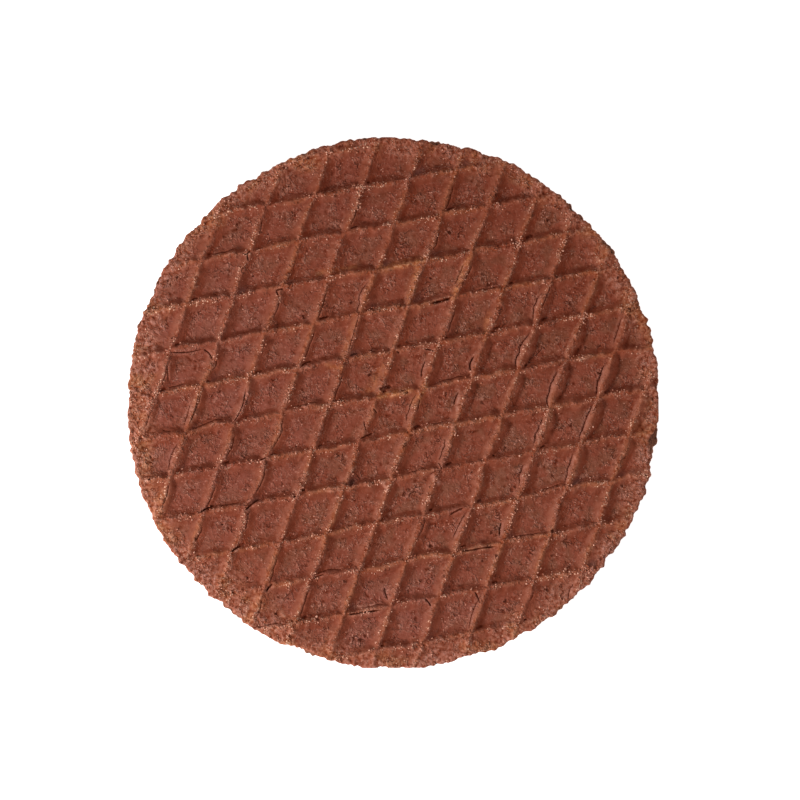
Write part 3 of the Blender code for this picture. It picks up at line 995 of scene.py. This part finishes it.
def faceStrokes(look):
    random = np.random.default_rng(look["seed"] + 500)
    strokes = []      # path, width, depth, darkness

    def add(start, end, bow, wobble, width, depth, dark):
        strokes.append((curvedStroke(start, end, bow, wobble, random), width, depth, dark))

    def follow(family, line, start, end, offset, bow, width, depth, dark):      # a crack beside a ridge
        along = np.linspace(start, end, 12)
        sway = offset + bow * np.sin(math.pi * np.linspace(0.0, 1.0, 12))
        sway = sway + 0.06 * np.cumsum(random.normal(0.0, 0.35, 12))
        x, y = besideRidge(look, family, float(line), along, sway)
        strokes.append((np.stack((x, y), -1), width, depth, dark))

    reach = int(biscuit["radius"] / biscuit["flatPitch"]) + 2
    for i in range(-2 * reach, 2 * reach + 1):
        for j in range(-2 * reach, 2 * reach + 1):
            s0 = look["steepPhase"] + i * biscuit["steepPitch"]
            t0 = look["flatPhase"] + j * biscuit["flatPitch"]
            middleX, middleY = fromLattice(s0 + 3.3, t0 + 3.3)
            draws = random.uniform(0.0, 1.0, 14)
            if math.hypot(middleX, middleY) > look["radius"] - 2.2:
                continue
            edgeX, edgeY = fromLattice(s0 + 6.7, t0 + 3.3)
            roll = float(rollShare(np.array([edgeX]), np.array([edgeY]), look)[0])
            # crack along the left foot of the steep ridge on the right of the cell
            if draws[0] < look["footCracks"][0] + (look["footCracks"][1] - look["footCracks"][0]) * roll:
                low, high = 0.02 + (0.35 - 0.28 * roll) * draws[1], 0.97 - (0.35 - 0.20 * roll) * draws[2]
                along = t0 + biscuit["flatPitch"] * np.linspace(low, high, 14)
                sway = -0.04 - rollEdge(np.sin(math.pi * np.linspace(low, high, 14)))
                sway = sway + 0.05 * np.cumsum(random.normal(0.0, 0.35, 14))
                path = np.stack(besideRidge(look, 0, float(i + 1), along, sway), -1)
                strokes.append((path, 0.060, 0.22 + 0.25 * roll * draws[4], 0.55 + 0.35 * draws[3]))
            # ragged edge along the right of a crest
            leaf = float(patchShare(np.array([middleX]), np.array([middleY]), look["leafPatches"])[0])
            if draws[12] < (look["crestCracks"] + 0.35 * leaf) * (1.0 - roll):
                low, high = 0.4 + 3.0 * draws[1], 6.4 - 2.5 * draws[2]
                offset, dark = 0.30 + 0.2 * draws[13], 0.30 + 0.35 * draws[3]
                follow(0, i, t0 + low, t0 + high, offset, 0.06, 0.065, 0.16, dark)
            # dark cleft in the sharp lower left corner of the cell
            if draws[5] < look["clefts"]:
                size, wide = 0.4 + 1.1 * draws[6], 0.08 + 0.16 * draws[7] ** 2
                start = np.array(fromLattice(s0 + 0.55 + 0.4 * wide, t0 + 0.50 + 0.4 * wide))
                end = start + size * np.array((0.93, 0.36))
                add(start, end, 0.05, 0.03, wide, 0.12 + 0.15 * draws[9], 0.85 - 2.0 * wide)
            # crack along the upper foot of the flat ridge below the cell
            if draws[8] < look["shelfCracks"]:
                low, high = 0.7 + 2.5 * draws[9], 6.0 - 2.0 * draws[10]
                follow(1, j, s0 + low, s0 + high, 0.45 + 0.25 * draws[11], -0.05, 0.065, 0.16, 0.55)
            for number in range(random.integers(0, look["wrinkles"] + 1)):
                centre = np.array(fromLattice(s0 + random.uniform(1.8, 5.0), t0 + random.uniform(1.8, 5.0)))
                turn = random.uniform(0.0, math.pi)
                half = 0.5 * random.uniform(0.5, 1.9) * np.array((math.cos(turn), math.sin(turn)))
                add(
                    centre - half, centre + half, random.uniform(-0.3, 0.3), 0.03,
                    random.uniform(0.06, 0.10), random.uniform(0.04, 0.13), random.uniform(0.15, 0.55),
                )
    for stroke in look["placedStrokes"]:
        add(*stroke)
    return strokes


upperLook = {
    "seed": 100,
    "facing": 1.0,
    "faceZ": biscuit["top"],
    "thickness": biscuit["top"] - biscuit["upperInside"],
    "radius": biscuit["radius"] + 0.06,
    "offCentre": (0.14, -0.12),
    "steepPhase": -2.88,
    "flatPhase": 1.38,
    "ringCount": 1080,
    "rimRings": (0.0, 0.10, 0.24, 0.42, 0.63, 0.86, 1.10),
    "gridSteps": (0.0, 0.13, 0.28, 0.46, 0.66, 0.88, 1.10, 1.33, 1.60, 1.92, 2.27, 2.62, 2.98, 3.35),
    "strokeSpacing": 0.14,
    "rimLumps": ((5, 0.08), (12, 0.13), (26, 0.16), (55, 0.24), (110, 0.28), (230, 0.26), (430, 0.20)),
    "rimDents": (
        (-8.5, 4.2, -1.0), (81.0, 2.0, -0.5), (157.0, 4.0, -0.3), (230.0, 2.4, -0.6), (249.5, 3.0, -0.45)
    ),
    "warp": 0.16,
    "ragged": 0.07,
    "depth": 1.19,
    "flatShare": 0.96,
    "rimDepth": 0.50,
    "fadeWidth": 4.6,
    "rollPatches": (
        (27.0, 3.0, 15.0, 12.0, 1.0), (-36.0, -8.0, 8.0, 12.0, 0.6), (5.0, -18.0, 9.0, 6.0, 0.35)
    ),
    "dimPatches": ((-33.0, -4.0, 18.0, 24.0, 0.6),),
    "leafPatches": ((-29.0, -4.0, 14.0, 17.0, 1.0),),
    # darker towards the top and the upper right
    "darkerTopPatches": ((8.0, 40.0, 40.0, 26.0, 1.0), (34.0, 20.0, 18.0, 20.0, 0.7)),
    "mauvePatches": (
        (-30.0, 0.0, 16.0, 22.0, 1.0), (-5.0, -34.0, 18.0, 9.0, 0.7), (-8.0, 33.0, 20.0, 9.0, 0.5)
    ),
    "shallowPatches": ((-26.0, -30.0, 8.0, 0.50), (-33.0, -15.0, 5.0, 0.8)),
    "steepRidge": {
        "wander": 0.24, "jitter": 0.15, "crestHalf": 0.17, "drop": 0.14,
        "footBefore": 1.50, "footAfter": 1.82, "bendBefore": 1.15, "bendAfter": 1.35,
        "rolls": 1.0, "bulge": 0.40,
    },
    "flatRidge": {
        "wander": 0.30, "jitter": 0.22, "crestHalf": 0.16, "drop": 0.23,
        "footBefore": 1.45, "footAfter": 1.12, "bendBefore": 0.85, "bendAfter": 1.15,
        "rolls": 0.25, "bulge": 0.20,
    },
    "crestDome": 0.06,
    "filletSize": 0.09,
    "rimWidth": 4.3,
    "wideRims": ((-25.0, -30.0, 12.0, 9.0, 2.4), (-41.0, 0.0, 6.0, 14.0, 1.5)),
    "rimDrop": 0.18,
    "edgeRound": 0.35,
    "crestGold": 0.22,
    "crestLumps": 0.080,
    "rimLumpHeight": 0.120,
    "floorLumps": 0.022,
    "wallLumps": 0.020,
    "bitHeight": 0.35,
    "pitDepth": 0.40,
    "footCracks": (0.05, 1.1),
    "crestCracks": 0.32,
    "shelfCracks": 0.22,
    "clefts": 0.45,
    "wrinkles": 3,
    "dipRounds": 2,
    "dipDepth": 0.055,
    "ironedShare": 0.85,
    "masks": (
        "crest", "shadedSide", "shadedShelf", "litRamp", "sparkle", "mauve", "smooth", "corner", "crack", "gold", "pale",
        "shadeAndDarkPatches", "cornerShadow", "hollow", "raised",
    ),
    "sideLevels": 8,
    "sideTaper": 0.05,
    "tuckIn": 0.15,      # step back of the edge that meets the syrup
    "insideSpacing": 2.4,
    "sideLumps": ((90, 0.10, 2.0), (260, 0.09, 0.7), (520, 0.06, 0.35)),
    # start, end, bow, wobble, width, depth, darkness
    "placedStrokes": (
        ((6.1, 15.9), (9.4, 16.9), -0.1, 0.04, 0.19, 0.7, 1.0),
        ((-2.3, 2.1), (-0.2, 2.6), 0.1, 0.04, 0.26, 0.45, 0.65),
        ((2.0, 1.5), (2.5, 1.8), 0.0, 0.02, 0.16, 0.5, 1.0),
        ((-30.9, -17.6), (-28.5, -16.4), 0.1, 0.02, 0.12, 0.5, 1.0),
        ((-23.7, -17.3), (-21.2, -15.3), 0.1, 0.02, 0.12, 0.5, 1.0),
        ((-25.9, -23.9), (-24.2, -22.8), 0.1, 0.02, 0.14, 0.5, 1.0),
        ((-20.3, -30.3), (-19.2, -28.9), 0.1, 0.02, 0.13, 0.5, 1.0),
        ((9.1, -18.0), (11.4, -16.9), 0.1, 0.04, 0.12, 0.4, 0.9),
        ((10.7, -23.9), (16.6, -23.0), 0.1, 0.08, 0.12, 0.4, 0.9),
        ((17.1, -21.4), (17.4, -19.1), 0.1, 0.04, 0.10, 0.4, 0.9),
        ((-38.9, -8.8), (-38.6, -8.6), 0.0, 0.01, 0.18, 0.4, 1.0),
        ((-27.5, -19.6), (-27.2, -19.4), 0.0, 0.01, 0.14, 0.4, 1.0),
        ((-22.5, 20.4), (-22.3, 20.1), 0.0, 0.01, 0.15, 0.4, 1.0),
        ((-20.1, 27.1), (-19.9, 26.9), 0.0, 0.01, 0.15, 0.3, 0.8),
        ((5.0, 8.6), (6.7, 8.2), 0.1, 0.03, 0.07, 0.3, 0.9),
        ((0.6, 8.3), (1.1, 7.9), 0.0, 0.02, 0.10, 0.3, 0.9),
        ((-3.2, -0.9), (-2.6, -1.7), 0.05, 0.02, 0.08, 0.3, 0.8),
        ((-4.6, -2.8), (-4.3, -4.4), -0.1, 0.03, 0.07, 0.3, 0.8),
        ((-5.2, -5.8), (-3.2, -4.8), 0.05, 0.03, 0.12, 0.3, 0.7),
        ((-12.8, -28.1), (-11.0, -27.4), 0.05, 0.03, 0.10, 0.3, 0.8),
        ((-15.5, -25.4), (-13.6, -26.3), 0.15, 0.03, 0.07, 0.15, 0.5),
        ((-24.1, 23.8), (-23.4, 23.7), 0.05, 0.02, 0.10, 0.4, 1.0),
        ((-22.8, 24.4), (-23.4, 23.7), 0.05, 0.02, 0.12, 0.4, 1.0),
        ((-23.4, 23.8), (-23.2, 22.7), 0.10, 0.02, 0.10, 0.4, 1.0),
        ((-18.7, 17.9), (-18.3, 16.8), 0.10, 0.02, 0.12, 0.4, 1.0),
        ((-18.7, 17.9), (-17.5, 18.2), 0.08, 0.02, 0.10, 0.4, 0.9),
        ((-23.6, 2.3), (-25.9, -3.6), 0.60, 0.03, 0.07, 0.35, 0.9),
        ((-31.0, 2.1), (-32.7, -3.6), 0.35, 0.03, 0.07, 0.30, 0.7),
        ((-35.7, 8.1), (-30.4, 8.6), -0.25, 0.04, 0.07, 0.30, 0.8),
        ((-30.4, 8.6), (-28.8, 6.8), 0.25, 0.03, 0.09, 0.30, 0.8),
        ((-36.3, 6.3), (-36.0, 3.3), 0.10, 0.03, 0.08, 0.20, 0.5),
        ((-21.3, -9.3), (-20.2, -8.8), 0.05, 0.03, 0.12, 0.35, 0.9),
        ((-14.8, -14.1), (-14.0, -14.0), 0.05, 0.03, 0.13, 0.35, 0.9),
        ((-5.3, 14.9), (-7.3, 7.6), 0.10, 0.06, 0.06, 0.20, 0.6),
        ((13.1, 7.6), (12.6, 4.8), -0.45, 0.05, 0.10, 0.45, 1.0),
        ((5.2, 6.8), (4.5, 3.9), -0.15, 0.05, 0.07, 0.30, 0.8),
        ((10.6, 1.8), (9.7, -0.4), -0.10, 0.05, 0.10, 0.25, 0.6),
        ((7.2, -9.6), (7.8, -10.8), 0.10, 0.02, 0.06, 0.25, 0.7),
        ((7.8, -10.8), (5.9, -11.5), -0.20, 0.02, 0.06, 0.25, 0.7),
        ((-6.9, -13.4), (-6.2, -12.2), 0.05, 0.03, 0.22, 0.25, 0.55),
        ((-7.4, -34.0), (-1.8, -33.2), 0.10, 0.05, 0.13, 0.45, 1.0),
        ((-1.3, -29.5), (-0.8, -31.6), -0.15, 0.03, 0.08, 0.30, 0.8),
        ((5.1, -31.3), (6.1, -32.6), 0.10, 0.03, 0.09, 0.35, 0.9),
        ((13.1, -30.2), (13.9, -32.1), 0.10, 0.03, 0.08, 0.35, 0.9),
        ((-12.0, 13.3), (-10.1, 13.9), 0.05, 0.03, 0.15, 0.25, 0.55),
        ((-14.7, 5.9), (-13.0, 6.7), 0.05, 0.03, 0.13, 0.25, 0.55),
    ),
    # start, end, width, strength
    "goldStrokes": (
        ((-1.6, 21.5), (4.6, 22.7), 0.62, 1.0),
        ((4.2, 22.3), (2.6, 16.4), 0.50, 0.8),
        ((12.3, 23.6), (9.6, 16.9), 0.50, 0.8),
        ((-2.0, 1.0), (2.6, 1.9), 0.55, 1.0),
        ((5.1, 2.6), (3.4, -0.2), 0.60, 0.8),
        ((-12.0, 20.7), (-6.0, 21.7), 0.40, 0.6),
        ((-1.3, 6.0), (-4.0, 1.7), 0.80, 0.4),
        ((15.3, 14.2), (14.6, 10.0), 0.45, 0.5),
        ((-10.4, 5.9), (-8.2, 5.5), 0.45, 0.6),
        ((-6.0, 14.0), (-8.0, 7.0), 0.50, 0.35),
        ((-41.0, 3.0), (-38.0, -20.0), 1.3, 0.35),
        ((-34.0, 25.0), (-31.0, 29.0), 1.2, 0.35),
    ),
    "paleStrokes": (
        ((-1.5, -12.9), (-1.1, -13.9), 0.40, 0.7),
        ((6.5, -12.0), (7.3, -12.8), 0.40, 0.5),
        ((-6.1, -32.7), (-2.9, -32.4), 0.25, 0.5),
        ((-10.4, -14.0), (-8.8, -13.8), 0.35, 0.4),
        ((-1.7, 13.3), (-1.4, 13.0), 0.22, 0.5),
        ((10.5, 1.6), (10.3, -2.0), 0.30, 0.4),
    ),
}
upperLook["strokes"] = faceStrokes(upperLook)

lowerLook = dict(
    upperLook,
    seed=300,
    facing=-1.0,
    faceZ=0.0,
    thickness=biscuit["lowerInside"],
    radius=biscuit["radius"] - 0.08,
    rimDepth=0.25,
    fadeWidth=6.0,
    steepPhase=0.0,
    flatPhase=0.0,
    gridSteps=(0.0, 0.16, 0.34, 0.56, 0.82, 1.10, 1.38, 1.70, 2.10, 2.52, 2.94, 3.36),
    rimDents=((6.0, 5.0, 0.25), (240.0, 7.0, -0.3), (160.0, 8.0, -0.25)),
    shallowPatches=((10.0, 28.0, 6.0, 0.75),),
    strokes=[],
    placedStrokes=(),
    goldStrokes=(),
    paleStrokes=(),
)
lowerLook["strokes"] = faceStrokes(lowerLook)

skin = skinMaterial("cocoaWaferSkin", skinLook)
edge = edgeMaterial("cocoaWaferEdge", edgeLook)
caramel = syrupMaterial("caramelSyrup", syrupLook)

upperWafer = makeWafer("upperWaferBaked", upperLook, (skin, edge))
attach(upperWafer, "root")
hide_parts("upper_wafer")

lowerWafer = makeWafer("lowerWaferBaked", lowerLook, (skin, edge))
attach(lowerWafer, "root")
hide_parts("lower_wafer")


def makeSyrup(name, look, material):
    print("stroopwafel: shaping", name)
    low, high = biscuit["lowerInside"] - look["overlap"], biscuit["upperInside"] + look["overlap"]
    count, levels = look["ringCount"], look["levels"]
    angles = np.linspace(0.0, fullTurn, count, endpoint=False)
    reach = outlineRadius(angles, look)
    xy, z = [], []
    for level in range(levels + 1):
        part = 2.0 * level / levels - 1.0
        lumps = 0.10 * softNoise(angles / fullTurn * 120, 0.5 * part + 0 * angles, 1.0, 950, 120)
        radius = reach + look["bulge"] * (math.sqrt(max(0.0, 1.0 - part * part)) - 0.5) + lumps
        xy.append(np.stack((radius * np.cos(angles), radius * np.sin(angles)), -1))
        z.append(np.full(count, low + (high - low) * level / levels))
    faces, uvs = [], []
    column = np.arange(count)
    nextColumn = (column + 1) % count
    for level in range(levels):
        base, above = level * count, (level + 1) * count
        quad = np.stack((base + column, base + nextColumn, above + nextColumn, above + column), -1)
        u0, u1, v0, v1 = rimStrips(count, 0.60, 0.08, 0.06 * level / levels, 0.06 * (level + 1) / levels)
        faces += quad.tolist()
        uvs.append(cornersOf((u0, v0), (u1, v0), (u1, v1), (u0, v1)).reshape(-1, 2))
    for level, side in ((0, 0), (levels, 1)):
        flat, triangles, ring = fillOutline(xy[level], coarseInside(xy[level], look["fillSpacing"]))
        extra = np.setdiff1d(np.arange(len(flat)), ring)
        index = np.empty(len(flat), int)
        index[ring] = level * count + np.arange(count)
        index[extra] = sum(len(part) for part in xy) + np.arange(len(extra))
        xy.append(flat[extra])
        z.append(np.full(len(extra), z[level][0]))
        triangles = index[triangles]
        triangles = triangles if side else triangles[:, ::-1]
        faces += triangles.tolist()
        flatUv = np.array((0.27 + 0.46 * side, 0.28)) + 0.25 * np.concatenate(xy)[triangles] / mapReach
        uvs.append(flatUv.reshape(-1, 2))
    vertices = np.column_stack((np.concatenate(xy), np.concatenate(z)))
    return makeMesh(name, vertices, faces, np.concatenate(uvs), {}, (material,), np.zeros(len(faces)))


syrup = makeSyrup("syrupLayer", syrupLook, caramel)
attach(syrup, "root")
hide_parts("syrup_filling")


crumbLook = {
    "count": 3200,
    "seed": 700,
    "smallest": 0.060,
    "largest": 0.20,
    "rimShare": 0.12,
    "rimReach": 1.3,      # how far in from the rim they lie
    "crestReach": 0.34,      # how far off a crest they lie
    "crowdSize": 3.6,
    "paleColor": (0.800, 0.410, 0.2900),
    "brownColor": (0.360, 0.100, 0.0500),
    "bumpDistance": 0.00004,
    "shine": 0.1,
}


def crumbMaterial(name, look):
    material, tree, shader = newMaterial(name)
    place = positionIn(tree)
    grain = placeGroup(tree, bakedGrain, Position=place, Size=0.12, Patch_Size=1.5)
    color = blendColor(tree, mask(tree, "pale"), look["brownColor"], look["paleColor"])
    feed(tree, shader.inputs["Base Color"], tinted(tree, color, scaled(tree, grain["Tone"], 0.85, 1.15)))
    feed(tree, shader.inputs["Roughness"], scaled(tree, grain["Patches"], 0.7, 0.9))
    shader.inputs["Specular IOR Level"].default_value = look["shine"]
    bumped(tree, shader, grain["Tone"], look["bumpDistance"])
    return material


def makeCrumbs(name, look, face, material):      # loose and baked-on grains along the crests and the rim
    print("stroopwafel: scattering", name)
    random = np.random.default_rng(look["seed"])
    tries = 4 * look["count"]
    angle = random.uniform(0.0, fullTurn, int(tries * look["rimShare"]))
    radius = outlineRadius(angle, face) - 0.25 - np.abs(random.normal(0.0, look["rimReach"], len(angle)))
    spots = [np.stack((radius * np.cos(angle), radius * np.sin(angle)), -1)]
    for family in (0, 1):
        line = random.integers(-7, 8, tries).astype(float)
        along = random.uniform(-44.0, 44.0, tries)
        x, y = besideRidge(face, family, line, along, random.normal(-0.05, look["crestReach"], tries))
        spots.append(np.stack((x, y), -1)[np.hypot(x, y) < face["radius"] - 0.8])
    spots = np.concatenate(spots)
    crowded = 0.05 + 1.1 * softNoise(*spots.T, look["crowdSize"], face["seed"] + 10)
    crowded = crowded + 0.6 * softNoise(*spots.T, 1.6, look["seed"] + 2)
    spots = spots[random.uniform(0.0, 1.0, len(spots)) < crowded]
    spots = random.permutation(spots)[:look["count"]]
    ground = faceRelief(*spots.T, face)["height"]
    template = bmesh.new()
    bmesh.ops.create_icosphere(template, subdivisions=1, radius=1.0)
    shape = np.array([tuple(v.co) for v in template.verts])
    triangles = np.array([[v.index for v in f.verts] for f in template.faces])
    template.free()
    count, corners = len(spots), len(shape)
    size = look["smallest"] + (look["largest"] - look["smallest"]) * random.beta(1.3, 2.6, count)
    jitter = random.uniform(0.65, 1.3, (count, corners, 1)) * random.uniform(0.7, 1.35, (count, 1, 3))
    body = shape[None] * jitter * size[:, None, None]
    middle = np.minimum(face["faceZ"] + ground + 0.35 * size, face["faceZ"] - 0.02 - 1.2 * size)
    centre = np.column_stack((spots, middle))
    vertices = (body + centre[:, None]).reshape(-1, 3)
    vertices[:, 2] = np.minimum(vertices[:, 2], face["faceZ"] - 0.015)
    faces = (triangles[None] + corners * np.arange(count)[:, None, None]).reshape(-1, 3)
    side = math.ceil(math.sqrt(count))
    cell = np.stack((np.arange(count) % side, np.arange(count) // side), -1) + 0.5
    flat = (cell[:, None] + 0.40 * shape[None, :, :2]) / side
    uvs = flat.reshape(-1, 2)[faces].reshape(-1, 2)
    pale = np.repeat(random.beta(0.9, 1.1, count), corners)
    return makeMesh(name, vertices, faces.tolist(), uvs, {"pale": pale}, (material,), np.zeros(len(faces)))


crumbs = makeCrumbs("bakedCrumbs", crumbLook, upperLook, crumbMaterial("waferCrumbs", crumbLook))
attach(crumbs, "root")


# floor, light and camera

studio = {
    "floorColor": (0.90, 0.90, 0.90),
    "floorGlow": 0.75,      # keeps the floor evenly white, as on a light table
    "skyStrength": 0.54,
    "keyPower": 1.60,
    "keyDistance": 0.40,
    "keyTurn": 213.0,      # degrees from +X, where the light stands
    "keyHeight": 31.0,
    "keyWidth": 0.13,
    "floorSize": 3.0,
    "sensorWidth": 36.0,
    "cameraHeight": 0.90,
    "frameWidth": 0.12790,
    "cameraX": 0.00112,
    "cameraY": 0.00042,
}

print("stroopwafel: floor, light and camera")
bpy.ops.mesh.primitive_plane_add(size=studio["floorSize"], location=(0.0, 0.0, 0.0))
floor = bpy.context.object
floor.name = "paleFloor"
floorMaterial, floorTree, floorShader = newMaterial("paleFloor")
floorShader.inputs["Base Color"].default_value = (*studio["floorColor"], 1.0)
floorShader.inputs["Roughness"].default_value = 0.9
floorShader.inputs["Specular IOR Level"].default_value = 0.1
floorShader.inputs["Emission Color"].default_value = (1.0, 1.0, 1.0, 1.0)
floorShader.inputs["Emission Strength"].default_value = studio["floorGlow"]
floor.data.materials.append(floorMaterial)

world = bpy.data.worlds.new("softRoom")
bpy.context.scene.world = world
world.use_nodes = True
world.node_tree.nodes["Background"].inputs["Color"].default_value = (1.0, 1.0, 1.0, 1.0)
world.node_tree.nodes["Background"].inputs["Strength"].default_value = studio["skyStrength"]

keyData = bpy.data.lights.new("keyLight", "AREA")
keyData.shape = "DISK"
keyData.size = studio["keyWidth"]
keyData.energy = studio["keyPower"]
key = bpy.data.objects.new("keyLight", keyData)
turn, height = math.radians(studio["keyTurn"]), math.radians(studio["keyHeight"])
stand = Vector((math.cos(turn) * math.cos(height), math.sin(turn) * math.cos(height), math.sin(height)))
key.location = studio["keyDistance"] * stand
key.rotation_euler = stand.to_track_quat("Z", "Y").to_euler()
key.visible_camera = False
bpy.context.scene.collection.objects.link(key)

cameraData = bpy.data.cameras.new("overhead")
cameraData.sensor_width = studio["sensorWidth"]
reach = studio["cameraHeight"] - cadBounds[1].z
cameraData.lens = studio["sensorWidth"] * reach / studio["frameWidth"]
cameraData.clip_start = 0.01
camera = bpy.data.objects.new("overhead", cameraData)
camera.location = (studio["cameraX"], studio["cameraY"], studio["cameraHeight"])
bpy.context.scene.collection.objects.link(camera)
bpy.context.scene.camera = camera
bpy.context.scene.view_settings.view_transform = "Standard"
bpy.context.scene.view_settings.look = "None"

print("stroopwafel: done")
